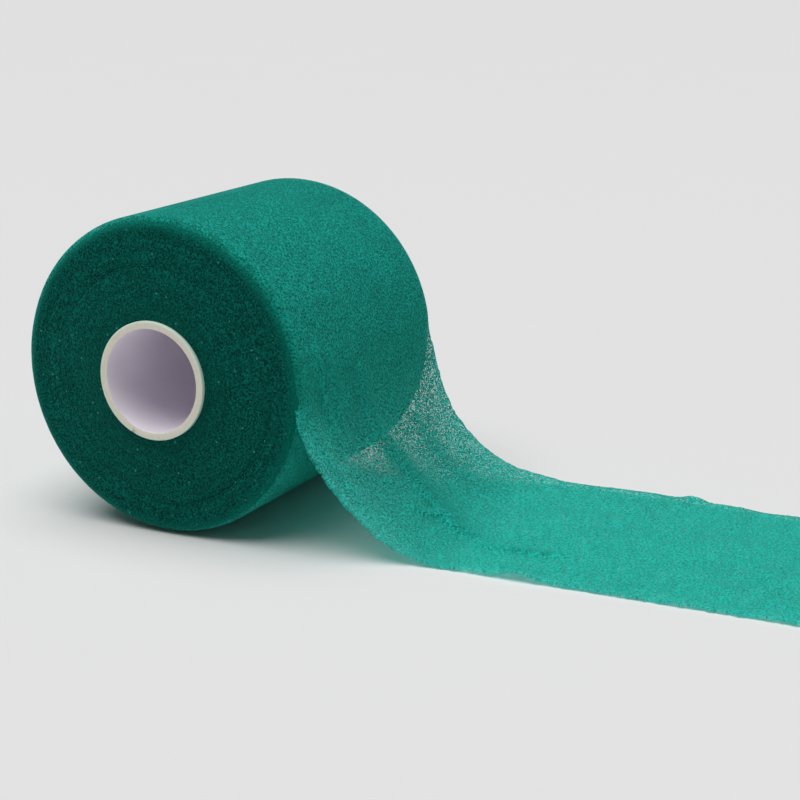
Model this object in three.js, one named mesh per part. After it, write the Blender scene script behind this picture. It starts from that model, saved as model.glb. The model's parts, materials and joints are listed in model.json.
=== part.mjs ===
// A roll of thin foam underwrap for racket grips, with its free end drawn off along +X.
// Millimetres, +Z up. The origin is on the table, under the middle of the roll.
// The roll's axis runs along Y, and the strip comes over the top, down and away to the right.
import * as THREE from 'three';

// Driving dimensions: the strip
const stripWidth = 70;
const stripThickness = 0.7;

// Driving dimensions: the roll
const rollRadius = 39.2; // outside of the last turn
const rollFacets = 72; // flats round the roll, one of them resting on the table
const rimRounding = 2; // soft rounding of the wound foam's outer edges
const rimSteps = 4;
const shoulderRadius = 31; // inside this the turns stand out of the outer ones
const shoulderProud = 0.4;
const innerProud = 1.8; // how far the innermost turns stand out at each end

// Driving dimensions: the core
const boreRadius = 12.7;
const coreRadius = 14.5;
const coreProud = 2.8; // the core stands out of the strip's edges by this much at each end
const coreChamfer = 0.4;
const boreChamfer = 0.2;

// Driving dimensions: the drawn-off end
const departureFacet = 17.5; // facets from the lowest point round to where the strip leaves the roll
const departureShift = 1.5; // sideways drift of the strip along Y where it leaves the roll
const tableShift = 9; // sideways drift along Y where it reaches the table
const upperHandle = 19.5; // how far the strip keeps the roll's direction before it swings out
const lowerHandle = 20; // how far before the table it already lies almost flat
const touchdownX = 76;
const tailEndX = 175;
const drapeSteps = 24;

// Clearances
const pieceGap = 0.3; // between neighbouring pieces
const bendGap = 0.5; // on each side of the line that the tail lifts about

// Worked out from the driving dimensions
const facetAngle = (2 * Math.PI) / rollFacets;
const axisHeight = rollRadius * Math.cos(facetAngle / 2);
const halfWidth = stripWidth / 2;
const stripMiddleRadius = rollRadius - stripThickness / 2;

const foamGreen = 0x1f9c86;
const woundGreen = 0x0c5a4d;

function foamMaterial(colour) {
  return new THREE.MeshStandardMaterial({ color: colour, roughness: 0.95, metalness: 0 });
}

function coreMaterial() {
  return new THREE.MeshStandardMaterial({ color: 0xd8d4cf, roughness: 0.55, metalness: 0 });
}

function named(name, geometry, material) {
  const mesh = new THREE.Mesh(geometry, material);
  mesh.name = name;
  return mesh;
}

// A closed ring turned about Y from a profile of [radius, y] corners, given in turning order.
function turnedRing(corners) {
  const profile = corners.map(([radius, y]) => new THREE.Vector2(radius, y));
  profile.push(profile[0].clone());
  return new THREE.LatheGeometry(profile, rollFacets, facetAngle / 2);
}

// One station of the strip: its middle point in the XZ plane, the side that faces outwards
// as a unit normal, and its drift along Y.
function station(x, z, normalX, normalZ, shift) {
  return { x, z, normalX, normalZ, shift };
}

// A closed plate that follows the stations, one strip thickness deep and one strip wide.
function stripSolid(stations) {
  const positions = [];
  const indices = [];
  const halfThickness = stripThickness / 2;
  for (const { x, z, normalX, normalZ, shift } of stations) {
    const corners = [[1, -1], [1, 1], [-1, 1], [-1, -1]]; // [outer or inner face, near or far edge]
    for (const [face, edge] of corners) {
      positions.push(
        x + face * halfThickness * normalX,
        shift + edge * halfWidth,
        z + face * halfThickness * normalZ,
      );
    }
  }
  for (let step = 0; step < stations.length - 1; step += 1) {
    for (let corner = 0; corner < 4; corner += 1) {
      const a = step * 4 + corner;
      const b = step * 4 + ((corner + 1) % 4);
      indices.push(a, a + 4, b, b, a + 4, b + 4);
    }
  }
  const last = (stations.length - 1) * 4;
  indices.push(0, 1, 2, 0, 2, 3);
  indices.push(last, last + 2, last + 1, last, last + 3, last + 2);
  const geometry = new THREE.BufferGeometry();
  geometry.setAttribute('position', new THREE.Float32BufferAttribute(positions, 3));
  geometry.setIndex(indices);
  geometry.computeVertexNormals();
  return geometry;
}

// A rigid tube, open from end to end, with a small chamfer on every rim.
function coreTube() {
  const end = halfWidth + coreProud;
  const ring = turnedRing([
    [coreRadius, coreChamfer - end],
    [coreRadius, end - coreChamfer],
    [coreRadius - coreChamfer, end],
    [boreRadius + boreChamfer, end],
    [boreRadius, end - boreChamfer],
    [boreRadius, boreChamfer - end],
    [boreRadius + boreChamfer, -end],
    [coreRadius - coreChamfer, -end],
  ]);
  const mesh = named('core_tube', ring, coreMaterial());
  mesh.position.z = axisHeight;
  return mesh;
}

// The turns under the last one, as one thick ring with soft outer edges. Its ends are
// slightly domed, because the inner turns stand out of the outer ones.
function woundTurns() {
  const inner = coreRadius + pieceGap;
  const outer = rollRadius - stripThickness - pieceGap;
  const corners = [];
  for (let step = 0; step <= rimSteps; step += 1) {
    const turn = (step / rimSteps) * (Math.PI / 2);
    const radius = outer - rimRounding * (1 - Math.sin(turn));
    corners.push([radius, -halfWidth + rimRounding * (1 - Math.cos(turn))]);
  }
  for (let step = rimSteps; step >= 0; step -= 1) {
    const turn = (step / rimSteps) * (Math.PI / 2);
    const radius = outer - rimRounding * (1 - Math.sin(turn));
    corners.push([radius, halfWidth - rimRounding * (1 - Math.cos(turn))]);
  }
  corners.push(
    [shoulderRadius, halfWidth + shoulderProud],
    [inner, halfWidth + innerProud],
    [inner, -halfWidth - innerProud],
    [shoulderRadius, -halfWidth - shoulderProud],
  );
  const mesh = named('wound_turns', turnedRing(corners), foamMaterial(woundGreen));
  mesh.position.z = axisHeight;
  return mesh;
}

// The angle round the roll, measured from +X towards +Z, of a corner between two flats.
function cornerAngle(facetsFromLowest) {
  return facetsFromLowest * facetAngle - Math.PI / 2;
}

// The last turn, from where the strip leaves the roll, over the top and back underneath.
function lastTurn() {
  const slotFacets = 2;
  const facets = rollFacets - slotFacets;
  const stations = [];
  for (let step = 0; step <= facets; step += 1) {
    const angle = cornerAngle(departureFacet + step);
    const x = stripMiddleRadius * Math.cos(angle);
    const z = axisHeight + stripMiddleRadius * Math.sin(angle);
    const shift = departureShift * (1 - step / facets);
    stations.push(station(x, z, Math.cos(angle), Math.sin(angle), shift));
  }
  return named('last_turn', stripSolid(stations.reverse()), foamMaterial(foamGreen));
}

// The stretch between the roll and the table: it leaves along the roll's tangent and
// swings out to meet the table flat.
function tailDrape() {
  const angle = cornerAngle(departureFacet);
  const startX = stripMiddleRadius * Math.cos(angle) + pieceGap * Math.sin(angle);
  const startZ = axisHeight + stripMiddleRadius * Math.sin(angle) - pieceGap * Math.cos(angle);
  const endX = touchdownX - bendGap;
  const endZ = stripThickness / 2;
  const curve = new THREE.CubicBezierCurve(
    new THREE.Vector2(startX, startZ),
    new THREE.Vector2(
      startX + upperHandle * Math.sin(angle),
      startZ - upperHandle * Math.cos(angle),
    ),
    new THREE.Vector2(endX - lowerHandle, endZ),
    new THREE.Vector2(endX, endZ),
  );
  const stations = [];
  for (let step = 0; step <= drapeSteps; step += 1) {
    const along = step / drapeSteps;
    const point = curve.getPointAt(along);
    const heading = curve.getTangentAt(along);
    const shift = departureShift + (tableShift - departureShift) * along;
    stations.push(station(point.x, point.y, -heading.y, heading.x, shift));
  }
  return named('tail_drape', stripSolid(stations), foamMaterial(foamGreen));
}

// The stretch that lies flat on the table.
function tailLaid() {
  const startX = touchdownX + bendGap;
  const length = tailEndX - startX;
  const plate = new THREE.BoxGeometry(length, stripWidth, stripThickness);
  const mesh = named('tail_laid', plate, foamMaterial(foamGreen));
  mesh.position.set(startX + length / 2, tableShift, stripThickness / 2);
  return mesh;
}

const roll = new THREE.Group();
roll.add(coreTube(), woundTurns());

const strip = new THREE.Group();
strip.add(lastTurn(), tailDrape(), tailLaid());

const group = new THREE.Group();
group.add(roll, strip);

export default group;
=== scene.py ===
"""Looks for a roll of thin foam underwrap: the core, the wound foam and the drawn-off strip."""

import json
import math

import bmesh
import bpy
import numpy as np
from bpy.props import FloatProperty, FloatVectorProperty, IntProperty, PointerProperty
from mathutils import Matrix, Vector


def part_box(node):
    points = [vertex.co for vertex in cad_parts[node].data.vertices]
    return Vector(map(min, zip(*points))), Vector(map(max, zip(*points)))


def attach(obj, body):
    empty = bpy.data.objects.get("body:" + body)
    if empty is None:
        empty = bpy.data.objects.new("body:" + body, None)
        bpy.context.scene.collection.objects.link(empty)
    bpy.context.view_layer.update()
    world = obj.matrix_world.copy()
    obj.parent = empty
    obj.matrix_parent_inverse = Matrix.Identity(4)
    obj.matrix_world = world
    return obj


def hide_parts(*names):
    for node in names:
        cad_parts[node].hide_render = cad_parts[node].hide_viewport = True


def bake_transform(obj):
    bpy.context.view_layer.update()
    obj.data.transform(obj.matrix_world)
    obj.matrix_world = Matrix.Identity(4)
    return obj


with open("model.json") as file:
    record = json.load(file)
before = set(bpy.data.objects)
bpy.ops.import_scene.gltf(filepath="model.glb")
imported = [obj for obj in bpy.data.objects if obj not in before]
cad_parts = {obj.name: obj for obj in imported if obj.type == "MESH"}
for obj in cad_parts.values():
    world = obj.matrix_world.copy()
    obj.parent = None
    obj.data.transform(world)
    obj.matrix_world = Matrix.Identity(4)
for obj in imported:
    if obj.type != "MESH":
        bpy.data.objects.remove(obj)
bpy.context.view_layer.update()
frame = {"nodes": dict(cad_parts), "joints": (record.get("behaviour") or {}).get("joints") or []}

bl_info = {
    "name": "Foam Underwrap Roll",
    "version": (1, 0, 0),
    "blender": (4, 5, 0),
    "location": "View3D > Sidebar > Underwrap",
    "description": "Makes a roll of thin foam underwrap with its free end drawn off",
    "category": "Add Mesh",
}

MM = 0.001

# ---------------------------------------------------------------------------------------------
# Sizes taken from the frame
# ---------------------------------------------------------------------------------------------

ROLL_LOW, ROLL_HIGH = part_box("last_turn")
CORE_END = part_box("core_tube")[1].y
LAID_LOW, LAID_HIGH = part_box("tail_laid")
LIFT = next(joint for joint in frame["joints"] if joint["name"] == "tail_lift")

AXIS_HEIGHT = (ROLL_LOW.z + ROLL_HIGH.z) / 2
ROLL_RADIUS = (ROLL_HIGH.z - ROLL_LOW.z) / 2
STRIP_WIDTH = LAID_HIGH.y - LAID_LOW.y
STRIP_THICKNESS = LAID_HIGH.z - LAID_LOW.z
TAIL_END = LAID_HIGH.x
TOUCHDOWN = LIFT["pos_m"][0]
HALF_WIDTH = STRIP_WIDTH / 2


def distances_from_axis(node):
    """Nearest and furthest distance of a node's corners from the roll's axis."""
    gaps = [math.hypot(v.co.x, v.co.z - AXIS_HEIGHT) for v in frame["nodes"][node].data.vertices]
    return min(gaps), max(gaps)


BORE_RADIUS, CORE_RADIUS = distances_from_axis("core_tube")


# ---------------------------------------------------------------------------------------------
# Settings
# ---------------------------------------------------------------------------------------------

def length_setting(name, description, default, low, high):
    return FloatProperty(name=name, description=description, default=default, min=low, max=high,
                         unit="LENGTH", precision=5)


def colour_setting(name, description, default):
    return FloatVectorProperty(name=name, description=description, default=default, size=3,
                               min=0.0, max=1.0, subtype="COLOR")


class StripSettings(bpy.types.PropertyGroup):
    """The foam strip: last turn, hanging stretch and laid tail."""

    thickness: length_setting(
        "Thickness", "Thickness of the foam strip", STRIP_THICKNESS, 0.0002, 0.003)
    rim_rounding: length_setting(
        "Rim Rounding", "Radius that the strip's edges bend to on the roll", 2.0 * MM, 0.0, 0.005)
    sink: length_setting(
        "Turn Step", "How much lower the strip lies one turn further in", 0.72 * MM, 0.0, 0.002)
    grid: length_setting(
        "Mesh Step", "Size of one mesh cell on the drawn-off stretch", 0.7 * MM, 0.0005, 0.005)
    raggedness: length_setting(
        "Raggedness", "How far the slit edges wander", 0.22 * MM, 0.0, 0.002)
    seed: IntProperty(name="Seed", description="Seed of the random wander", default=7, min=0)
    colour: colour_setting(
        "Foam Colour", "Colour of the strip in reflected light", (0.015, 0.48, 0.40))
    through: colour_setting(
        "Glow Colour", "Colour of light that has come through the strip", (0.19, 0.95, 0.85))
    cell: length_setting(
        "Cell Size", "Size of one foam cell", 0.60 * MM, 0.0001, 0.003)


class WoundSettings(bpy.types.PropertyGroup):
    """The turns under the last one."""

    turn_pitch: length_setting(
        "Turn Pitch", "Spacing of the turns that show at the ends", 0.62 * MM, 0.0002, 0.003)
    relief: length_setting(
        "Relief", "How far single turns stand out of the wound ends", 0.06 * MM, 0.0, 0.001)
    seed: IntProperty(name="Seed", description="Seed of the turns' unevenness", default=3, min=0)
    colour: colour_setting(
        "End Colour", "Colour of the wound foam seen edge on", (0.0008, 0.090, 0.067))


class CoreSettings(bpy.types.PropertyGroup):
    """The core tube."""

    chamfer: length_setting(
        "Edge Rounding", "Rounding of the sawn edges", 0.20 * MM, 0.0, 0.001)
    wall_colour: colour_setting(
        "Wall Colour", "Colour of the moulded wall", (0.94, 0.88, 1.0))
    sawn_colour: colour_setting(
        "Sawn Colour", "Colour of the sawn ends", (0.80, 0.77, 0.66))
    # Painted reflection: this greenish colour stands for green light from the foam on the tube's outer
    # edge and outside.
    green_reflection_colour: colour_setting(
        "Edge Colour", "Colour of the outer edge and outside of the tube", (0.66, 0.82, 0.70))
    seed: IntProperty(name="Seed", description="Seed of the burrs", default=11, min=0)


class StageSettings(bpy.types.PropertyGroup):
    """Floor, light and camera."""

    floor_colour: colour_setting(
        "Floor Colour", "Colour of the plain floor", (0.80, 0.80, 0.80))
    sky_strength: FloatProperty(
        name="Fill Light", description="Brightness of the even light all round",
        default=0.12, min=0.0, max=4.0)
    key_strength: FloatProperty(
        name="Key Light", description="Strength of the broad light overhead",
        default=2.72, min=0.0, max=20.0)
    key_softness: FloatProperty(
        name="Key Softness", description="Apparent size of the overhead light",
        default=math.radians(60), min=0.0, max=math.pi, subtype="ANGLE")
    azimuth: FloatProperty(
        name="View Azimuth", description="Angle of the view round the roll",
        default=math.radians(26.96), subtype="ANGLE")
    elevation: FloatProperty(
        name="View Elevation", description="Height of the view above the table's plane",
        default=math.radians(15.12), subtype="ANGLE")
    tilt: FloatProperty(
        name="View Tilt", description="Turn of the camera about its own line of sight",
        default=math.radians(-0.258), subtype="ANGLE")
    distance: FloatProperty(
        name="View Distance", description="Distance from the camera to the point it looks at",
        default=0.4522, min=0.05, unit="LENGTH")
    lens: FloatProperty(
        name="Lens", description="Focal length of the camera in millimetres",
        default=83.23, min=10.0, max=300.0)


# ---------------------------------------------------------------------------------------------
# Mesh helpers
# ---------------------------------------------------------------------------------------------

def smoothstep(low, high, value):
    share = np.clip((value - low) / (high - low), 0.0, 1.0)
    return share * share * (3.0 - 2.0 * share)


def wander(count, knots, rng):
    """A smooth random line of the given number of samples, roughly from -1 to 1."""
    values = rng.uniform(-1.0, 1.0, knots)
    return np.interp(np.linspace(0, knots - 1, count), np.arange(knots), values)


def new_piece(name, vertices, faces, material, smooth=True):
    """A mesh object at the origin, with its place in its mesh."""
    mesh = bpy.data.meshes.new(name)
    mesh.from_pydata(vertices.tolist(), [], faces)
    mesh.update()
    piece = bpy.data.objects.new(name, mesh)
    bpy.context.scene.collection.objects.link(piece)
    mesh.materials.append(material)
    if smooth:
        mesh.shade_smooth()
    return piece


def turned_grid(profile, steps):
    """A closed profile of (radius, y) corners turned about the roll's axis, one row a step."""
    angles = np.linspace(0, 2 * math.pi, steps, endpoint=False)
    radius = np.array([p[0] for p in profile])
    along = np.array([p[1] for p in profile])
    rows = np.zeros((steps, len(profile), 3))
    rows[:, :, 0] = np.cos(angles)[:, None] * radius
    rows[:, :, 1] = along
    rows[:, :, 2] = AXIS_HEIGHT + np.sin(angles)[:, None] * radius
    return angles, rows


def turned_faces(steps, corners):
    """Quads that join a turned grid into one closed skin."""
    faces = []
    for step in range(steps):
        here, there = step * corners, ((step + 1) % steps) * corners
        for corner in range(corners):
            after = (corner + 1) % corners
            faces.append((here + corner, here + after, there + after, there + corner))
    return faces


def arc(centre, radius, start, end, steps):
    """Points of an arc in the profile plane, by angles from the radius direction towards +y."""
    turns = np.linspace(start, end, steps)
    return [(centre[0] + radius * math.cos(t), centre[1] + radius * math.sin(t)) for t in turns]


# ---------------------------------------------------------------------------------------------
# Materials
# ---------------------------------------------------------------------------------------------

class Nodes:
    """Short names for adding and joining shader nodes."""

    def __init__(self, name):
        self.material = bpy.data.materials.new(name)
        self.material.use_nodes = True
        self.tree = self.material.node_tree
        self.tree.nodes.clear()
        self.output = self.add("ShaderNodeOutputMaterial")

    def add(self, kind, **values):
        node = self.tree.nodes.new(kind)
        for key, value in values.items():
            setattr(node, key, value)
        return node

    def join(self, source, target):
        self.tree.links.new(source, target)

    def math(self, operation, first, second=None):
        node = self.add("ShaderNodeMath", operation=operation)
        for socket, value in zip(node.inputs, (first, second)):
            if value is None:
                continue
            if isinstance(value, (int, float)):
                socket.default_value = value
            else:
                self.join(value, socket)
        return node.outputs[0]

    def span(self, value, low, high, to_low=0.0, to_high=1.0):
        """Maps a value from one range to another and clamps it."""
        node = self.add("ShaderNodeMapRange", interpolation_type="SMOOTHSTEP")
        self.join(value, node.inputs["Value"])
        for key, number in zip(("From Min", "From Max", "To Min", "To Max"), (low, high, to_low, to_high)):
            node.inputs[key].default_value = number
        return node.outputs["Result"]

    def mix(self, share, first, second):
        """Mixes two colours; each is a socket or a colour."""
        node = self.add("ShaderNodeMix", data_type="RGBA")
        for number, value in ((0, share), (6, first), (7, second)):
            socket = node.inputs[number]
            if isinstance(value, (int, float)):
                socket.default_value = value
            elif isinstance(value, tuple):
                socket.default_value = (*value, 1.0)
            else:
                self.join(value, socket)
        return node.outputs[2]

    def place(self, centre=(0.0, 0.0, 0.0), uv=None, scale=(1.0, 1.0, 1.0)):
        """Object coordinates about a centre, or the coordinates of a UV map."""
        mapping = self.add("ShaderNodeMapping")
        mapping.inputs["Location"].default_value = tuple(-c * s for c, s in zip(centre, scale))
        mapping.inputs["Scale"].default_value = scale
        if uv is None:
            source = self.add("ShaderNodeTexCoord").outputs["Object"]
        else:
            source = self.add("ShaderNodeUVMap", uv_map=uv).outputs["UV"]
        self.join(source, mapping.inputs["Vector"])
        return mapping.outputs["Vector"]

    def noise(self, place, size, detail=2.0, roughness=0.5):
        node = self.add("ShaderNodeTexNoise")
        node.inputs["Scale"].default_value = 1.0 / size
        node.inputs["Detail"].default_value = detail
        node.inputs["Roughness"].default_value = roughness
        self.join(place, node.inputs["Vector"])
        return node.outputs["Fac"]

    def cells(self, place, size):
        node = self.add("ShaderNodeTexVoronoi")
        node.inputs["Scale"].default_value = 1.0 / size
        self.join(place, node.inputs["Vector"])
        return node

    def first_channel(self, colour):
        """The first channel of a colour, as one of a cell's random numbers."""
        node = self.add("ShaderNodeSeparateColor")
        self.join(colour, node.inputs[0])
        return node.outputs[0]

    def mark(self, name):
        """A number that the mesh carries at each of its corners."""
        return self.add("ShaderNodeAttribute", attribute_name=name).outputs["Fac"]

    def about_axis(self, place):
        """The X, Y and Z of a place measured from the roll's axis, and its distance from the axis."""
        parts = self.add("ShaderNodeSeparateXYZ")
        self.join(place, parts.inputs[0])
        flat = self.add("ShaderNodeCombineXYZ")
        self.join(parts.outputs["X"], flat.inputs["X"])
        self.join(parts.outputs["Z"], flat.inputs["Z"])
        length = self.add("ShaderNodeVectorMath", operation="LENGTH")
        self.join(flat.outputs[0], length.inputs[0])
        return parts.outputs, length.outputs["Value"]

    def bump(self, height, depth, strength=1.0):
        node = self.add("ShaderNodeBump")
        node.inputs["Distance"].default_value = depth
        node.inputs["Strength"].default_value = strength
        self.join(height, node.inputs["Height"])
        return node.outputs["Normal"]


def scaled(colour, factor):
    return tuple(min(1.0, channel * factor) for channel in colour)


def foam_grain(nodes, place, cell, fill=0.0):
    """The look of open foam: a crisp grain from 0 (pore) to 1 (cell wall), slow drift, and a mask of
    painted glints, bright specks that stand for light glinting off cell walls.

    A higher fill leaves less room for the pores.
    """
    pores = nodes.cells(place, cell).outputs["Distance"]
    mottle = nodes.noise(place, cell * 0.85, 1.0, 0.6)
    grain = nodes.math("ADD", nodes.span(pores, 0.22 - fill, 0.72 - fill, 0.0, 0.40),
                       nodes.span(mottle, 0.38 - fill, 0.62 - fill, 0.0, 0.60))
    drift = nodes.noise(place, cell * 22, 2.0)
    # Painted glints: a few cells become bright specks in the colour, standing for light glinting off the
    # foam.
    painted_glint = nodes.cells(place, cell * 2.6)
    near = nodes.span(painted_glint.outputs["Distance"], 0.10, 0.24, 1.0, 0.0)
    chosen = nodes.span(nodes.first_channel(painted_glint.outputs["Color"]), 0.86, 0.98)
    return grain, drift, nodes.math("MULTIPLY", near, chosen)


def foam_skin(nodes, tone, grain, depth, sheen):
    """The matt, slightly velvety surface shared by every foam piece."""
    strip = bpy.context.scene.underwrap_strip
    skin = nodes.add("ShaderNodeBsdfPrincipled")
    skin.inputs["Roughness"].default_value = 0.70
    skin.inputs["Specular IOR Level"].default_value = 0.03
    skin.inputs["Sheen Weight"].default_value = sheen
    skin.inputs["Sheen Roughness"].default_value = 0.35
    skin.inputs["Sheen Tint"].default_value = (0.14, 1.0, 0.86, 1.0)
    nodes.join(tone, skin.inputs["Base Color"])
    normal = nodes.bump(grain, strip.cell * depth, 1.0)
    nodes.join(normal, skin.inputs["Normal"])
    return skin, normal


def strip_foam():
    """Thin see-through foam. Its pattern follows the strip's UV map. At the roll's rims its colour and
    glow are darkened towards the wound ends' colour: partly the ends' own dark colour carried over the
    rounded rims, partly painted shade where the rims face away from the light.

    The inner face is mostly clear, so that light comes through the sheet as through one layer.
    """
    strip, wound = bpy.context.scene.underwrap_strip, bpy.context.scene.underwrap_wound
    nodes = Nodes("strip_foam")
    place = nodes.place(uv="flat")
    grain, drift, painted_glint = foam_grain(nodes, place, strip.cell, fill=0.115)
    # The rim mark carries painted shade: where the strip bends over the roll's rims, its colour and glow
    # are darkened towards the wound ends' colour.
    rim = nodes.mark("rim")
    base = tuple(strip.colour)
    tone = nodes.mix(grain, scaled(base, 0.02), scaled(base, 2.08))
    tone = nodes.mix(nodes.span(drift, 0.35, 0.65, 0.0, 0.22), tone, scaled(base, 0.75))
    # Painted glints: bright specks mixed into the strip's colour.
    tone = nodes.mix(nodes.math("MULTIPLY", painted_glint, 0.8), tone, (0.50, 0.98, 0.92))
    end = tuple(wound.colour)
    # Painted shade at the rims, partly the wound ends' own dark colour.
    tone = nodes.mix(rim, tone, nodes.mix(grain, scaled(end, 0.6), scaled(end, 4.5)))
    skin, normal = foam_skin(nodes, tone, grain, 2.0, 1.0)
    glow = nodes.add("ShaderNodeBsdfTranslucent")
    through = tuple(strip.through)
    gather_and_shade = nodes.mark("gather_and_shade")
    lit = nodes.mix(grain, scaled(through, 0.52), scaled(through, 1.05))
    # Painted crease shade: the glow is darkened where the foam is gathered in creases.
    lit = nodes.mix(nodes.math("MULTIPLY", gather_and_shade, 0.40), lit, scaled(through, 0.45))
    # The glow at the rims gets the same painted shade.
    rim_shaded_glow = nodes.mix(grain, scaled(end, 1.5), scaled(end, 7.0))
    nodes.join(nodes.mix(rim, lit, rim_shaded_glow), glow.inputs["Color"])
    nodes.join(normal, glow.inputs["Normal"])
    solid = nodes.add("ShaderNodeMixShader")
    solid.inputs[0].default_value = 0.60
    nodes.join(skin.outputs[0], solid.inputs[1])
    nodes.join(glow.outputs[0], solid.inputs[2])
    holes = nodes.cells(place, strip.cell * 0.80).outputs["Distance"]
    weave = nodes.noise(place, strip.cell * 8, 2.0)
    inner = nodes.mark("inner")
    holes = nodes.math("ADD", holes, nodes.span(weave, 0.30, 0.70, 0.025, -0.025))
    # The gathered foam also has fewer holes.
    holes = nodes.math("ADD", holes, nodes.math("MULTIPLY", gather_and_shade, 0.30))
    holes = nodes.math("SUBTRACT", holes, nodes.math("MULTIPLY", inner, 0.15))
    thin = nodes.mark("thin")
    holes = nodes.math("SUBTRACT", holes, nodes.math("MULTIPLY", thin, 0.07))
    hole = nodes.span(holes, 0.20, 0.33, 0.95, 0.0)
    clear = nodes.add("ShaderNodeBsdfTransparent")
    hole = nodes.math("MAXIMUM", hole, nodes.math("MULTIPLY", inner, 0.75))
    whole = nodes.add("ShaderNodeMixShader")
    nodes.join(nodes.math("MULTIPLY", hole, nodes.math("SUBTRACT", 1.0, rim)), whole.inputs[0])
    nodes.join(solid.outputs[0], whole.inputs[1])
    nodes.join(clear.outputs[0], whole.inputs[2])
    nodes.join(whole.outputs[0], nodes.output.inputs["Surface"])
    return nodes.material


def wound_foam():
    """Foam of many turns: lighter on its side, dark on its ends, where turns show as faint rings."""
    wound, strip = bpy.context.scene.underwrap_wound, bpy.context.scene.underwrap_strip
    nodes = Nodes("wound_foam")
    place = nodes.place((0.0, 0.0, AXIS_HEIGHT))
    grain, _, painted_glint = foam_grain(nodes, place, strip.cell * 0.9)
    parts, radius = nodes.about_axis(place)
    spot = nodes.add("ShaderNodeCombineXYZ")
    nodes.join(nodes.math("DIVIDE", radius, 0.95 * MM), spot.inputs["X"])
    nodes.join(nodes.math("DIVIDE", parts["X"], 9 * MM), spot.inputs["Y"])
    nodes.join(nodes.math("DIVIDE", parts["Z"], 9 * MM), spot.inputs["Z"])
    rings = nodes.noise(spot.outputs[0], 1.0, 2.0)
    end = tuple(wound.colour)
    tone = nodes.mix(grain, scaled(end, 0.25), scaled(end, 1.95))
    tone = nodes.mix(nodes.span(rings, 0.30, 0.70, 0.0, 0.40), tone, scaled(end, 0.55))
    tone = nodes.mix(nodes.span(radius, 0.024, 0.0155, 0.0, 0.40), tone, scaled(end, 0.80))
    tone = nodes.mix(nodes.span(radius, 0.0350, 0.0382, 0.0, 0.65), tone, scaled(end, 2.3))
    side = tuple(strip.colour)
    coat = nodes.mix(grain, scaled(side, 0.10), scaled(side, 0.85))
    out = nodes.math("ABSOLUTE", parts["Y"])
    tone = nodes.mix(nodes.span(out, HALF_WIDTH - 2.2 * MM, HALF_WIDTH - 0.9 * MM), coat, tone)
    # Painted glints: lighter specks mixed into the wound foam's colour.
    tone = nodes.mix(nodes.math("MULTIPLY", painted_glint, 0.5), tone, (0.12, 0.50, 0.42))
    skin, _ = foam_skin(nodes, tone, grain, 0.42, 0.12)
    nodes.join(skin.outputs[0], nodes.output.inputs["Surface"])
    return nodes.material


def core_plastic():
    """Milky moulded plastic, warmer on its sawn ends, with a painted green reflection of the foam at its
    outer edge.
    """
    core = bpy.context.scene.underwrap_core
    nodes = Nodes("core_plastic")
    place = nodes.place((0.0, 0.0, AXIS_HEIGHT))
    parts, radius = nodes.about_axis(place)
    out = nodes.math("ABSOLUTE", parts["Y"])
    sawn = nodes.span(out, CORE_END - 0.22 * MM, CORE_END - 0.06 * MM)
    # Mask of the painted green reflection on the outer edge and outside of the tube.
    outer = nodes.span(radius, CORE_RADIUS - 0.42 * MM, CORE_RADIUS - 0.22 * MM)
    blotch = nodes.noise(place, 6 * MM, 3.0)
    wall = nodes.mix(blotch, scaled(core.wall_colour, 0.97), scaled(core.wall_colour, 1.02))
    speck = nodes.noise(place, 0.7 * MM, 2.0)
    cut_end = nodes.mix(speck, scaled(core.sawn_colour, 0.90), scaled(core.sawn_colour, 1.06))
    tone = nodes.mix(outer, nodes.mix(sawn, wall, cut_end), tuple(core.green_reflection_colour))
    skin = nodes.add("ShaderNodeBsdfPrincipled")
    nodes.join(tone, skin.inputs["Base Color"])
    nodes.join(nodes.span(sawn, 0.0, 1.0, 0.42, 0.70), skin.inputs["Roughness"])
    skin.inputs["Specular IOR Level"].default_value = 0.4
    skin.inputs["Subsurface Weight"].default_value = 0.6
    skin.inputs["Subsurface Radius"].default_value = (1.0, 1.0, 1.0)
    skin.inputs["Subsurface Scale"].default_value = 1.2 * MM
    saw_marks = nodes.noise(nodes.place((0.0, 0.0, AXIS_HEIGHT), scale=(1.0, 1.0, 9.0)), 0.9 * MM, 2.0)
    nodes.join(nodes.bump(saw_marks, 0.03 * MM, 0.6), skin.inputs["Normal"])
    nodes.join(skin.outputs[0], nodes.output.inputs["Surface"])
    return nodes.material


def floor_paper():
    """Plain pale backdrop paper."""
    stage = bpy.context.scene.underwrap_stage
    nodes = Nodes("floor_paper")
    place = nodes.place()
    cloud = nodes.noise(place, 120 * MM, 2.0)
    tone = nodes.mix(cloud, scaled(stage.floor_colour, 0.992), tuple(stage.floor_colour))
    skin = nodes.add("ShaderNodeBsdfPrincipled")
    skin.inputs["Roughness"].default_value = 0.8
    skin.inputs["Specular IOR Level"].default_value = 0.1
    nodes.join(tone, skin.inputs["Base Color"])
    nodes.join(nodes.bump(nodes.noise(place, 0.5 * MM, 2.0), 0.01 * MM, 0.3), skin.inputs["Normal"])
    nodes.join(skin.outputs[0], nodes.output.inputs["Surface"])
    return nodes.material


# ---------------------------------------------------------------------------------------------
# The strip's shape
# ---------------------------------------------------------------------------------------------

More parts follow.
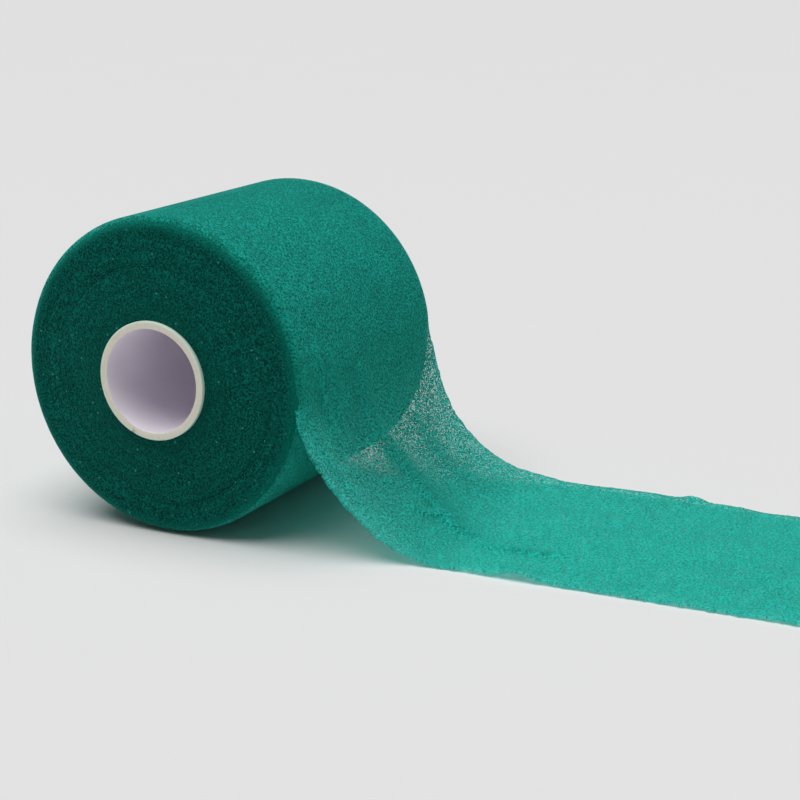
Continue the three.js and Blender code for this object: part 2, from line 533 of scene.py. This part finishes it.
# Where the strip leaves the roll and meets the table, at its near and at its far edge.
# Angles are from +X towards +Z round the roll's axis.
LEAVES_AT = (math.radians(-2.25), math.radians(9.8))
UPPER_HANDLE = (16.5 * MM, 13.0 * MM)
LOWER_HANDLE = (17.1 * MM, 46.0 * MM)
MEETS_TABLE = (TOUCHDOWN - 3.8 * MM, TOUCHDOWN + 6.0 * MM)
SIDEWAYS = (
    (-34.7 * MM, -36.0 * MM, -29.0 * MM, -27.2 * MM),
    (35.0 * MM, 33.0 * MM, 39.5 * MM, 44.6 * MM),
)
LAID_SLOPE = (0.024, -0.045)  # how the laid edges run across for each unit along
TUCK = math.radians(12)  # how far the strip goes on under itself beyond one whole turn
LIFT_OFF = 0.08 * MM  # how far the laid foam stands off the table

# Creases of the drawn-off stretch, in millimetres: points of (distance past the roll, distance
# from the near edge), then height, width of the soft side, width of the steep side, and how
# closely the foam is gathered there, from 0 to 1. Gathered foam has fewer holes, and its glow
# is darkened by painted crease shade.
CREASES = (
    (((0, 29), (14, 29), (34, 32), (44, 27), (53, 21)), 1.3, 4.5, 2.0, 0.85),
    (((36, 20), (42, 21), (47, 24), (52, 21), (60, 20)), 1.0, 2.4, 0.8, 0.9),
    (((62, 15), (70, 16), (76, 16), (84, 18)), 0.8, 1.8, 0.7, 0.9),
    (((-11, 9), (2, 11), (15, 13)), 1.0, 1.3, 0.9, 0.0),
    (((-8, 15), (3, 16), (13, 16)), 0.8, 1.2, 0.8, 0.0),
    (((2, 4), (16, 5), (34, 6)), 0.8, 2.5, 1.2, 0.3),
    (((20, 52), (36, 49), (52, 50)), 0.7, 5.0, 2.5, 0.3),
)


def between(pair, across):
    return pair[0] + (pair[1] - pair[0]) * across


def turn_points(back, across, rim_rounding, sink, thickness):
    """Middle of the strip on the roll.

    back is the angle back from where it leaves, and across goes from 0 to 1.
    """
    strip_across = (across - 0.5) * STRIP_WIDTH
    slant = between(LEAVES_AT, across) - between(LEAVES_AT, 0.5)
    angle = between(LEAVES_AT, 0.5) + back + slant * (1 - smoothstep(0.0, 1.2, back))
    reach = np.abs(strip_across) - (HALF_WIDTH - 1.45 * rim_rounding)
    bend = np.clip(reach / rim_rounding, 0.0, None)
    inwards = rim_rounding * (1 - np.cos(bend))
    pulled_in = rim_rounding * (bend - np.sin(bend))
    radius = ROLL_RADIUS - thickness / 2 - sink * smoothstep(0.0, 2 * math.pi, back) - inwards
    side = strip_across - np.sign(strip_across) * pulled_in
    return np.stack([radius * np.cos(angle), side, AXIS_HEIGHT + radius * np.sin(angle)], -1)


def drape_points(along, across, thickness):
    """Middle of the hanging stretch. along and across go from 0 to 1."""
    angle = between(LEAVES_AT, across)
    radius = ROLL_RADIUS - thickness / 2
    upper, lower = between(UPPER_HANDLE, across), between(LOWER_HANDLE, across)
    end = between(MEETS_TABLE, across)
    floor_level = thickness / 2
    start_x = radius * np.cos(angle)
    start_z = AXIS_HEIGHT + radius * np.sin(angle)
    floor = floor_level + 0 * across
    xs = [start_x, start_x + upper * np.sin(angle), end - lower, end]
    zs = [start_z, start_z - upper * np.cos(angle), floor, floor]
    ys = [near + (far - near) * across for near, far in zip(*SIDEWAYS)]
    rest = 1 - along
    weights = [rest ** 3, 3 * rest ** 2 * along, 3 * rest * along ** 2, along ** 3]
    return np.stack([sum(w * p for w, p in zip(weights, axis)) for axis in (xs, ys, zs)], -1)


def laid_points(run, across, thickness):
    """Middle of the laid tail. run goes from 0 where the strip meets the table to 1 at its end."""
    start = between(MEETS_TABLE, across)
    x = start + (TAIL_END - start) * run
    near = SIDEWAYS[0][3] + LAID_SLOPE[0] * (x - MEETS_TABLE[0])
    far = SIDEWAYS[1][3] + LAID_SLOPE[1] * np.clip(x - 100 * MM, 0.0, None)
    return np.stack([x, near + (far - near) * across, thickness / 2 + 0 * x], -1)


def strip_middle(strip):
    """The grid of points along the middle of the strip, and the strip's length at each row."""
    step = strip.grid
    drape_length = 62 * MM
    laid_length = TAIL_END - TOUCHDOWN
    columns = int(STRIP_WIDTH / step) + 1
    across = np.linspace(0, 1, columns)
    whole_turn = 2 * math.pi + TUCK
    turn_rows = int(ROLL_RADIUS * whole_turn / (2.0 * step))
    drape_rows = int(drape_length / step)
    laid_rows = int(laid_length / step)
    rows = []
    for back in np.linspace(whole_turn, 0, turn_rows, endpoint=False):
        rows.append(turn_points(back, across, strip.rim_rounding, strip.sink, strip.thickness))
    for along in np.linspace(0, 1, drape_rows, endpoint=False):
        rows.append(drape_points(along, across, strip.thickness))
    for run in np.linspace(0, 1, laid_rows):
        rows.append(laid_points(run, across, strip.thickness))
    points = np.array(rows)
    points = relax_rim(points, turn_rows, across, strip)
    steps = np.linalg.norm(np.diff(points[:, columns // 2], axis=0), axis=1)
    return points, np.concatenate([[0.0], np.cumsum(steps)]), across, turn_rows


def relax_rim(points, turn_rows, across, strip):
    """Carries the rim's bend a little way past the roll, so that the edges open out gently."""
    last = turn_points(0.0, across, strip.rim_rounding, strip.sink, strip.thickness)
    plain = drape_points(0.0, across, strip.thickness)
    extra = last - plain
    for row in range(turn_rows, min(turn_rows + 40, len(points))):
        gone = np.linalg.norm(points[row] - plain, axis=-1)
        points[row] += extra * (1 - smoothstep(0.0, 14 * MM, gone))[:, None]
    return points


def crease(past, side, corners, soft, steep):
    """How far points lie into one crease, 0 to 1, from their place in millimetres."""
    best = np.full(past.shape, 1e9)
    signed = np.zeros(past.shape)
    share = np.zeros(past.shape)
    spans = len(corners) - 1
    for number in range(spans):
        (s0, y0), (s1, y1) = corners[number], corners[number + 1]
        run, rise = s1 - s0, y1 - y0
        length = math.hypot(run, rise)
        t = np.clip(((past - s0) * run + (side - y0) * rise) / length ** 2, 0.0, 1.0)
        gap = np.hypot(past - s0 - t * run, side - y0 - t * rise)
        closer = gap < best
        best = np.where(closer, gap, best)
        cross = (side - y0) * run - (past - s0) * rise
        signed = np.where(closer, np.sign(cross) * gap, signed)
        share = np.where(closer, (number + t) / spans, share)
    width = np.where(signed > 0, soft, steep)
    fade = np.clip(4.0 * share * (1.0 - share), 0.0, 1.0) ** 0.35
    return fade * np.exp(-((best / width) ** 2))


def unevenness(lengths, turn_rows, across):
    """How far the drawn-off strip stands out of its smooth shape, and how gathered it is; the gathering
    also sets the painted crease shade on the glow.

    Everything inside is in millimetres: past the roll, and from the near edge.
    """
    past = ((lengths - lengths[turn_rows]) / MM)[:, None] + 0 * across[None, :]
    side = (across * STRIP_WIDTH / MM)[None, :] + 0 * past
    raised, gathered_and_shaded = np.zeros(past.shape), np.zeros(past.shape)
    for corners, height, soft, steep, closeness in CREASES:
        raised += height * crease(past, side, corners, soft, steep)
        squeezed_and_shaded = closeness * crease(past, side, corners, soft * 0.8, steep * 1.3)
        gathered_and_shaded = np.maximum(gathered_and_shaded, squeezed_and_shaded)
    arch = np.exp(-(((past - 81) / 4.5) ** 2)) * np.clip(1 - side / 5.0, 0, 1) ** 1.5
    raised += 1.5 * arch
    kink = np.exp(-(((past - 91.7) / 3.0) ** 2)) * np.clip(1 - (70 - side) / 8.0, 0, 1) ** 1.5
    raised += 1.3 * kink
    ripple = np.sin(past / 5.1 + side / 17) * np.sin(side / 9.3 - past / 13)
    ripple = ripple + 0.6 * np.sin(past / 11 - side / 6.1)
    raised += 0.16 * (ripple + 1.2) * smoothstep(4, 24, past)
    curl = np.clip(1 - side / 2.2, 0, 1) + np.clip(1 - (70 - side) / 2.2, 0, 1)
    waves = 0.5 + 0.5 * np.sin(past / 3.7 + 1.3 * np.sin(past / 9))
    raised += 0.28 * curl * waves * smoothstep(2, 12, past)
    return raised * MM, gathered_and_shaded


def outward(points):
    """Unit normals of the grid, on the side that faces away from the roll and the table."""
    along = np.gradient(points, axis=0)
    over = np.gradient(points, axis=1)
    normals = np.cross(along, over)
    return normals / np.linalg.norm(normals, axis=-1, keepdims=True)


def strip_sheet():
    """The whole visible strip as one closed sheet."""
    strip = bpy.context.scene.underwrap_strip
    rng = np.random.default_rng(strip.seed)
    points, lengths, across, turn_rows = strip_middle(strip)
    rows, columns = points.shape[:2]
    normals = outward(points)
    half = np.full((rows, columns), strip.thickness / 2)
    tucked = smoothstep(0.0, 20 * MM, lengths)
    half *= (0.15 + 0.85 * tucked)[:, None]
    side = across * STRIP_WIDTH
    to_edge = np.minimum(side, STRIP_WIDTH - side)
    past = lengths - lengths[turn_rows]
    on_roll = 1 - smoothstep(-3 * MM, 5 * MM, past)
    thin = 1 - smoothstep(0.0, 1.5 * MM, to_edge)
    half *= 1 - 0.70 * on_roll[:, None] * thin[None, :]
    # Painted shade at the rims: strongest at the strip's edges on the roll, gone 3.4 mm in, partly the
    # wound ends' own dark colour.
    rim_painted_shade = on_roll[:, None] * (1 - smoothstep(-0.6 * MM, 3.4 * MM, to_edge))[None, :]
    raised, gathered_and_shaded = unevenness(lengths, turn_rows, across)
    points = points + normals * raised[:, :, None]
    points[:, :, 2] += LIFT_OFF * smoothstep(0.0, 50 * MM, past)[:, None]
    normals = outward(points)
    edge_near = wander(rows, rows // 3, rng) + wander(rows, rows, rng)
    edge_far = wander(rows, rows // 3, rng) + wander(rows, rows, rng)
    sideways = points[:, -1] - points[:, 0]
    sideways = sideways / np.linalg.norm(sideways, axis=-1, keepdims=True)
    close_near = np.clip(1 - across / 0.03, 0, 1)
    close_far = np.clip(1 - (1 - across) / 0.03, 0, 1)
    shift = edge_near[:, None] * close_near + edge_far[:, None] * close_far
    ragged = strip.raggedness * (1 - 0.75 * on_roll)
    notch = 1.3 * MM * np.exp(-(((past - 0.6 * MM) / (1.3 * MM)) ** 2))
    points = points + sideways[:, None] * (notch[:, None] * close_near)[:, :, None]
    points = points + sideways[:, None] * (shift * ragged[:, None])[:, :, None]
    top = points + normals * half[:, :, None]
    bottom = points - normals * half[:, :, None]
    vertices = np.concatenate([top.reshape(-1, 3), bottom.reshape(-1, 3)])
    count = rows * columns
    index = np.arange(count).reshape(rows, columns)
    a, b, c, d = index[:-1, :-1], index[1:, :-1], index[1:, 1:], index[:-1, 1:]
    quads = np.stack([a, b, c, d], -1).reshape(-1, 4)
    under = np.stack([a, d, c, b], -1).reshape(-1, 4) + count
    rim = np.concatenate([index[0, :], index[1:, -1], index[-1, -2::-1], index[-2:0:-1, 0]])
    after = np.roll(rim, -1)
    walls = np.stack([rim, after, after + count, rim + count], -1)
    faces = np.concatenate([quads, under, walls]).tolist()
    piece = new_piece("foam_strip", vertices, faces, strip_foam())
    flat = np.zeros((rows, columns, 2))
    flat[:, :, 0] = lengths[:, None]
    flat[:, :, 1] = across[None, :] * STRIP_WIDTH
    flat = np.concatenate([flat.reshape(-1, 2), flat.reshape(-1, 2)])
    layer = piece.data.uv_layers.new(name="flat")
    corners = np.zeros(len(piece.data.loops), dtype=np.int32)
    piece.data.loops.foreach_get("vertex_index", corners)
    layer.data.foreach_set("uv", flat[corners].ravel())
    drawn_thin = smoothstep(-2 * MM, 8 * MM, past) * (1 - smoothstep(18 * MM, 42 * MM, past))
    apart = np.hypot((past[:, None] - 20 * MM) / (10 * MM), (side[None, :] - 24 * MM) / (11 * MM))
    drawn_thin = drawn_thin[:, None] * (0.55 + 1.30 * np.exp(-(apart ** 2)))
    marks = {
        "rim": [rim_painted_shade, rim_painted_shade],
        "gather_and_shade": [gathered_and_shaded, gathered_and_shaded],
        "thin": [drawn_thin, drawn_thin],
        "inner": [np.zeros((rows, columns)), np.ones((rows, columns))],
    }
    for name, (outside, inside) in marks.items():
        mark = piece.data.attributes.new(name, "FLOAT", "POINT")
        mark.data.foreach_set("value", np.concatenate([outside.ravel(), inside.ravel()]))
    return piece, float(lengths[-1])


# ---------------------------------------------------------------------------------------------
# Operators
# ---------------------------------------------------------------------------------------------

SHOULDER_RADIUS = 31.0 * MM  # inside this the turns stand out of the outer ones
DOME_HEIGHT = 1.85 * MM  # how far the innermost turns stand out
DOME_CURVE = 1.15


def end_height(radius):
    """How far the wound end stands out past the strip's width, by distance from the axis."""
    share = (SHOULDER_RADIUS - radius) / (SHOULDER_RADIUS - CORE_RADIUS)
    return DOME_HEIGHT * np.clip(share, 0.0, 1.0) ** DOME_CURVE


# Steps where outer turns have slipped back from inner ones: middle and half spread of the arc,
# its radius, how the radius drifts for each radian, and the step's depth.
TURN_STEPS = (
    (math.radians(-45), math.radians(75), 31.0 * MM, 0.5 * MM, 0.40 * MM),
    (math.radians(10), math.radians(50), 34.2 * MM, -0.4 * MM, 0.16 * MM),
    (math.radians(125), math.radians(60), 27.5 * MM, 0.6 * MM, 0.18 * MM),
    (math.radians(150), math.radians(50), 32.8 * MM, 0.3 * MM, 0.16 * MM),
    (math.radians(-110), math.radians(50), 35.0 * MM, 0.5 * MM, 0.16 * MM),
)


def turn_relief(angles, grid, rng, wound):
    """Unevenness of the turns' edges at both ends: rings that come and go along their length."""
    steps, corners = grid.shape[:2]
    radius = np.hypot(grid[0, :, 0], grid[0, :, 2] - AXIS_HEIGHT)
    reach = 1 - smoothstep(36.4 * MM, 37.6 * MM, radius)
    lean = np.zeros((steps, corners))
    for waves, weight in ((0, 0.9), (1, 0.9), (2, 0.7), (3, 0.5), (5, 0.4), (8, 0.3)):
        phase = rng.uniform(0, 2 * math.pi)
        swing = np.cos(waves * angles + phase)[:, None]
        fine = rng.uniform(-1, 1, corners)
        knots = np.arange(0, corners + 5, 5)
        size = fine + 1.4 * np.interp(np.arange(corners), knots, rng.uniform(-1, 1, len(knots)))
        lean += weight * swing * size[None, :]
    lean *= reach[None, :] * wound.relief / 2.2
    for middle, spread, groove_radius, drift, depth in TURN_STEPS:
        signed = (angles - middle + math.pi) % (2 * math.pi) - math.pi
        strength = (np.clip(1 - np.abs(signed) / spread, 0.0, 1.0) ** 0.6)[:, None]
        past = radius[None, :] - groove_radius - drift * signed[:, None]
        ledge = (1 - smoothstep(-0.5 * MM, 0.5 * MM, past)) * smoothstep(-6 * MM, 0, past)
        groove = np.exp(-((past / (0.45 * MM)) ** 2))
        lean += strength * depth * (0.8 * ledge - groove)
    facing = np.sign(grid[:, :, 1])
    return facing * lean


# Burrs on the near bore rim: middle angle, spread, and how far they reach in.
BURRS = (
    (math.radians(222), math.radians(26), 0.50 * MM),
    (math.radians(290), math.radians(24), 0.22 * MM),
    (math.radians(330), math.radians(14), 0.30 * MM),
)
NICK_AT = math.radians(247)  # where the near outer rim is nicked
NICK_SPREAD = math.radians(1.6)
NICK_DEPTH = 0.45 * MM
RIM_HOLD = 0.5 * MM  # keeps the rims' shading from running down the tube


def pull_in(grid, columns, inwards, radius):
    """Moves some columns of a turned grid towards the axis, by a distance given for each row."""
    left = (1 - inwards / radius)[:, None]
    grid[:, columns, 0] *= left
    grid[:, columns, 2] = AXIS_HEIGHT + (grid[:, columns, 2] - AXIS_HEIGHT) * left


class UNDERWRAP_OT_core(bpy.types.Operator):
    """Make the core tube"""

    bl_idname = "underwrap.core"
    bl_label = "Core Tube"

    def execute(self, context):
        core = context.scene.underwrap_core
        soft, end = core.chamfer, CORE_END
        quarter = math.pi / 2
        hold = end - soft - RIM_HOLD
        outer = arc((CORE_RADIUS - soft, end - soft), soft, 0.0, quarter, 5)
        inner = arc((BORE_RADIUS + soft, end - soft), soft, quarter, 2 * quarter, 5)
        far_end = [(CORE_RADIUS, hold)] + outer + inner + [(BORE_RADIUS, hold)]
        near_end = [(radius, -y) for radius, y in reversed(far_end)]
        profile = far_end + near_end
        angles, grid = turned_grid(profile, 360)
        self.roughen(grid, angles, core, end)
        faces = turned_faces(len(angles), len(profile))
        piece = new_piece("core_sleeve", grid.reshape(-1, 3), faces, core_plastic())
        face_outwards(piece)
        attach(piece, "roll")
        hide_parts("core_tube")
        return {"FINISHED"}

    @staticmethod
    def roughen(grid, angles, core, end):
        """Leaves a saw's burrs on part of the near bore rim, and a small nick in the near outer rim."""
        rng = np.random.default_rng(core.seed)
        radius = np.hypot(grid[0, :, 0], grid[0, :, 2] - AXIS_HEIGHT)
        at_end = grid[0, :, 1] < -end + 0.7 * core.chamfer
        bore_rim = at_end & (radius < BORE_RADIUS + core.chamfer)
        outer_rim = at_end & (radius > CORE_RADIUS - core.chamfer)
        for middle, spread, size in BURRS:
            reach = np.clip(1 - np.abs(angles - middle) / spread, 0.0, 1.0)
            inwards = size * reach * rng.uniform(0.0, 1.0, len(angles)) ** 2
            pull_in(grid, bore_rim, inwards, BORE_RADIUS)
        cut = NICK_DEPTH * np.exp(-(((angles - NICK_AT) / NICK_SPREAD) ** 2))
        pull_in(grid, outer_rim, cut, CORE_RADIUS)


def face_outwards(piece):
    """Turns every face of a closed mesh so that it points out."""
    work = bmesh.new()
    work.from_mesh(piece.data)
    bmesh.ops.recalc_face_normals(work, faces=work.faces)
    work.to_mesh(piece.data)
    work.free()


class UNDERWRAP_OT_wound(bpy.types.Operator):
    """Make the turns under the last one"""

    bl_idname = "underwrap.wound"
    bl_label = "Wound Foam"

    def execute(self, context):
        wound, strip = context.scene.underwrap_wound, context.scene.underwrap_strip
        rng = np.random.default_rng(wound.seed)
        outer = ROLL_RADIUS - strip.sink - strip.thickness * 0.55
        rim = 2.3 * MM
        inner = CORE_RADIUS + 0.10 * MM
        quarter = math.pi / 2
        rings = int((outer - rim - inner) / (wound.turn_pitch / 4))
        radii = np.linspace(outer - rim, inner, rings)
        edge = [(float(r), HALF_WIDTH + float(end_height(r))) for r in radii]
        front = [(r, -y) for r, y in edge]
        profile = arc((outer - rim, HALF_WIDTH - rim), rim, 0.0, quarter, 9)[:-1] + edge
        profile += front[::-1] + arc((outer - rim, rim - HALF_WIDTH), rim, -quarter, 0.0, 9)[1:]
        angles, grid = turned_grid(profile, 300)
        grid[:, :, 1] += turn_relief(angles, grid, rng, wound)
        faces = turned_faces(len(angles), len(profile))
        piece = new_piece("wound_foam", grid.reshape(-1, 3), faces, wound_foam())
        face_outwards(piece)
        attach(piece, "roll")
        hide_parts("wound_turns")
        return {"FINISHED"}


def spiral_group(wound, material):
    """Geometry Nodes that wind one raised edge after another over both domed ends of the roll."""
    tree = bpy.data.node_groups.new("wound_turn_edges", "GeometryNodeTree")
    sockets = tree.interface
    sockets.new_socket("Geometry", in_out="OUTPUT", socket_type="NodeSocketGeometry")
    inner, outer = CORE_RADIUS + 0.5 * MM, ROLL_RADIUS - 4.4 * MM
    values = {"Inner Radius": inner, "Outer Radius": outer, "Turns": (outer - inner) / wound.turn_pitch,
              "Edge Radius": 0.30 * MM, "Dome": DOME_HEIGHT, "Half Width": HALF_WIDTH,
              "Wander": 0.9 * MM, "Rise": 0.36 * MM, "Axis Height": AXIS_HEIGHT}
    for name in values:
        sockets.new_socket(name, in_out="INPUT", socket_type="NodeSocketFloat")
    given, result = tree.nodes.new("NodeGroupInput"), tree.nodes.new("NodeGroupOutput")

    def node(kind, links, **options):
        made = tree.nodes.new(kind if kind.startswith("Shader") else "GeometryNode" + kind)
        for key, value in options.items():
            setattr(made, key, value)
        for key, value in links.items():
            if isinstance(value, bpy.types.NodeSocket):
                tree.links.new(value, made.inputs[key])
            else:
                made.inputs[key].default_value = value
        return made

    def sum_of(operation, first, second):
        return node("ShaderNodeMath", {0: first, 1: second}, operation=operation).outputs[0]

    spiral = node("CurveSpiral", {"Resolution": 150, "Rotations": given.outputs["Turns"],
                                  "Start Radius": given.outputs["Inner Radius"],
                                  "End Radius": given.outputs["Outer Radius"], "Height": 0.0})
    spot = node("InputPosition", {}).outputs[0]
    distance = node("ShaderNodeVectorMath", {0: spot}, operation="LENGTH").outputs["Value"]
    noise = node("ShaderNodeTexNoise", {"Vector": spot, "Scale": 1 / (7 * MM), "Detail": 2.0})
    swing = sum_of("MULTIPLY", sum_of("SUBTRACT", noise.outputs["Fac"], 0.5), given.outputs["Wander"])
    outwards = node("ShaderNodeVectorMath", {0: spot}, operation="NORMALIZE").outputs[0]
    sideways = node("ShaderNodeVectorMath", {0: outwards, "Scale": swing}, operation="SCALE").outputs[0]
    domed = node("ShaderNodeMapRange", {"Value": distance, "From Min": CORE_RADIUS,
                                        "From Max": SHOULDER_RADIUS, "To Min": 1.0,
                                        "To Max": 0.0}).outputs["Result"]
    domed = sum_of("MULTIPLY", sum_of("POWER", domed, DOME_CURVE), given.outputs["Dome"])
    other = node("ShaderNodeTexNoise", {"Vector": spot, "Scale": 1 / (11 * MM), "Detail": 1.0})
    risen = sum_of("MULTIPLY", sum_of("SUBTRACT", other.outputs["Fac"], 1.30), given.outputs["Rise"])
    height = sum_of("ADD", sum_of("ADD", domed, given.outputs["Half Width"]), risen)
    lift = node("ShaderNodeCombineXYZ", {"Z": height}).outputs[0]
    offset = node("ShaderNodeVectorMath", {0: sideways, 1: lift}, operation="ADD").outputs[0]
    placed = node("SetPosition", {"Geometry": spiral.outputs[0], "Offset": offset})
    edge = node("CurvePrimitiveCircle", {"Resolution": 5, "Radius": given.outputs["Edge Radius"]})
    swept = node("CurveToMesh", {"Curve": placed.outputs[0], "Profile Curve": edge.outputs[0],
                                 "Fill Caps": True})
    up = node("ShaderNodeCombineXYZ", {"Z": given.outputs["Axis Height"]}).outputs[0]
    near = node("Transform", {"Geometry": swept.outputs[0], "Translation": up,
                              "Rotation": (math.pi / 2, 0, 0)})
    mirrored = node("Transform", {"Geometry": near.outputs[0], "Scale": (1.0, -1.0, 1.0)})
    far = node("FlipFaces", {"Mesh": mirrored.outputs[0]})
    both = node("JoinGeometry", {})
    tree.links.new(near.outputs[0], both.inputs[0])
    tree.links.new(far.outputs[0], both.inputs[0])
    plain = node("RealizeInstances", {"Geometry": both.outputs[0]})
    painted = node("SetMaterial", {"Geometry": plain.outputs[0], "Material": material})
    tree.links.new(painted.outputs[0], result.inputs[0])
    return tree, values


class UNDERWRAP_OT_turn_edges(bpy.types.Operator):
    """Wind the raised edges of the turns over both ends"""

    bl_idname = "underwrap.turn_edges"
    bl_label = "Turn Edges"

    def execute(self, context):
        material = bpy.data.objects["wound_foam"].data.materials[0]
        tree, values = spiral_group(context.scene.underwrap_wound, material)
        carrier = bpy.data.objects.new("carrier", bpy.data.meshes.new("carrier"))
        context.scene.collection.objects.link(carrier)
        modifier = carrier.modifiers.new("turn_edges", "NODES")
        modifier.node_group = tree
        for socket in tree.interface.items_tree:
            if socket.in_out == "INPUT":
                modifier[socket.identifier] = values[socket.name]
        evaluated = carrier.evaluated_get(context.evaluated_depsgraph_get())
        mesh = bpy.data.meshes.new_from_object(evaluated)
        bpy.data.objects.remove(carrier)
        mesh.name = "wound_edges"
        mesh.polygons.foreach_set("material_index", np.zeros(len(mesh.polygons), dtype=np.int32))
        mesh.materials.clear()
        mesh.materials.append(material)
        mesh.shade_smooth()
        piece = bpy.data.objects.new("wound_edges", mesh)
        context.scene.collection.objects.link(piece)
        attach(piece, "roll")
        return {"FINISHED"}


class UNDERWRAP_OT_strip(bpy.types.Operator):
    """Make the last turn, the hanging stretch and the laid tail as one strip"""

    bl_idname = "underwrap.strip"
    bl_label = "Foam Strip"

    def execute(self, context):
        piece, length = strip_sheet()
        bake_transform(piece)
        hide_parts("last_turn", "tail_drape", "tail_laid")
        return {"FINISHED"}


class UNDERWRAP_OT_stage(bpy.types.Operator):
    """Make the floor, the light and the camera"""

    bl_idname = "underwrap.stage"
    bl_label = "Floor, Light and Camera"

    def execute(self, context):
        stage = context.scene.underwrap_stage
        self.floor()
        self.light(context, stage)
        self.camera(context, stage)
        context.scene.view_settings.view_transform = "Standard"
        return {"FINISHED"}

    @staticmethod
    def floor():
        reach, sides = 8.0, 64
        turns = np.linspace(0, 2 * math.pi, sides, endpoint=False)
        rim = np.stack([reach * np.cos(turns), reach * np.sin(turns), 0 * turns], -1)
        new_piece("floor", rim, [tuple(range(sides))], floor_paper(), smooth=False)

    @staticmethod
    def light(context, stage):
        world = bpy.data.worlds.new("soft_studio")
        world.use_nodes = True
        background = world.node_tree.nodes["Background"]
        background.inputs["Color"].default_value = (1.0, 1.0, 1.0, 1.0)
        background.inputs["Strength"].default_value = stage.sky_strength
        context.scene.world = world
        key = bpy.data.lights.new("overhead_key", "SUN")
        key.energy = stage.key_strength
        key.angle = stage.key_softness
        lamp = bpy.data.objects.new("overhead_key", key)
        context.scene.collection.objects.link(lamp)
        shining_from = Vector((-math.tan(math.radians(5)), -math.tan(math.radians(10)), 1.0))
        lamp.rotation_euler = shining_from.to_track_quat("Z", "Y").to_euler()

    @staticmethod
    def camera(context, stage):
        data = bpy.data.cameras.new("studio_camera")
        data.lens = stage.lens
        data.sensor_width = 36.0
        data.clip_start, data.clip_end = 0.01, 50.0
        camera = bpy.data.objects.new("studio_camera", data)
        context.scene.collection.objects.link(camera)
        back = Vector((math.sin(stage.azimuth) * math.cos(stage.elevation),
                       -math.cos(stage.azimuth) * math.cos(stage.elevation),
                       math.sin(stage.elevation)))
        looked_at = Vector((47.05 * MM, 0.0, 31.0 * MM))
        facing = back.to_track_quat("Z", "Y").to_matrix().to_4x4()
        turn = Matrix.Rotation(stage.tilt, 4, "Z")
        camera.matrix_world = Matrix.Translation(looked_at + back * stage.distance) @ facing @ turn
        context.scene.camera = camera


class UNDERWRAP_PT_panel(bpy.types.Panel):
    """Lists the pieces of the roll"""

    bl_idname = "UNDERWRAP_PT_panel"
    bl_label = "Foam Underwrap Roll"
    bl_space_type = "VIEW_3D"
    bl_region_type = "UI"
    bl_category = "Underwrap"

    def draw(self, context):
        for step in STEPS:
            self.layout.operator(step.bl_idname)


STEPS = (
    UNDERWRAP_OT_stage,
    UNDERWRAP_OT_core,
    UNDERWRAP_OT_wound,
    UNDERWRAP_OT_turn_edges,
    UNDERWRAP_OT_strip,
)
GROUPS = {
    "underwrap_strip": StripSettings,
    "underwrap_wound": WoundSettings,
    "underwrap_core": CoreSettings,
    "underwrap_stage": StageSettings,
}


def register():
    for group in GROUPS.values():
        bpy.utils.register_class(group)
    for name, group in GROUPS.items():
        setattr(bpy.types.Scene, name, PointerProperty(type=group))
    for kind in (*STEPS, UNDERWRAP_PT_panel):
        bpy.utils.register_class(kind)


def unregister():
    for kind in (UNDERWRAP_PT_panel, *STEPS):
        bpy.utils.unregister_class(kind)
    for name in GROUPS:
        delattr(bpy.types.Scene, name)
    for group in GROUPS.values():
        bpy.utils.unregister_class(group)


def main():
    register()
    bpy.ops.underwrap.stage()
    bpy.ops.underwrap.core()
    bpy.ops.underwrap.wound()
    bpy.ops.underwrap.turn_edges()
    bpy.ops.underwrap.strip()


if __name__ == "__main__":
    main()
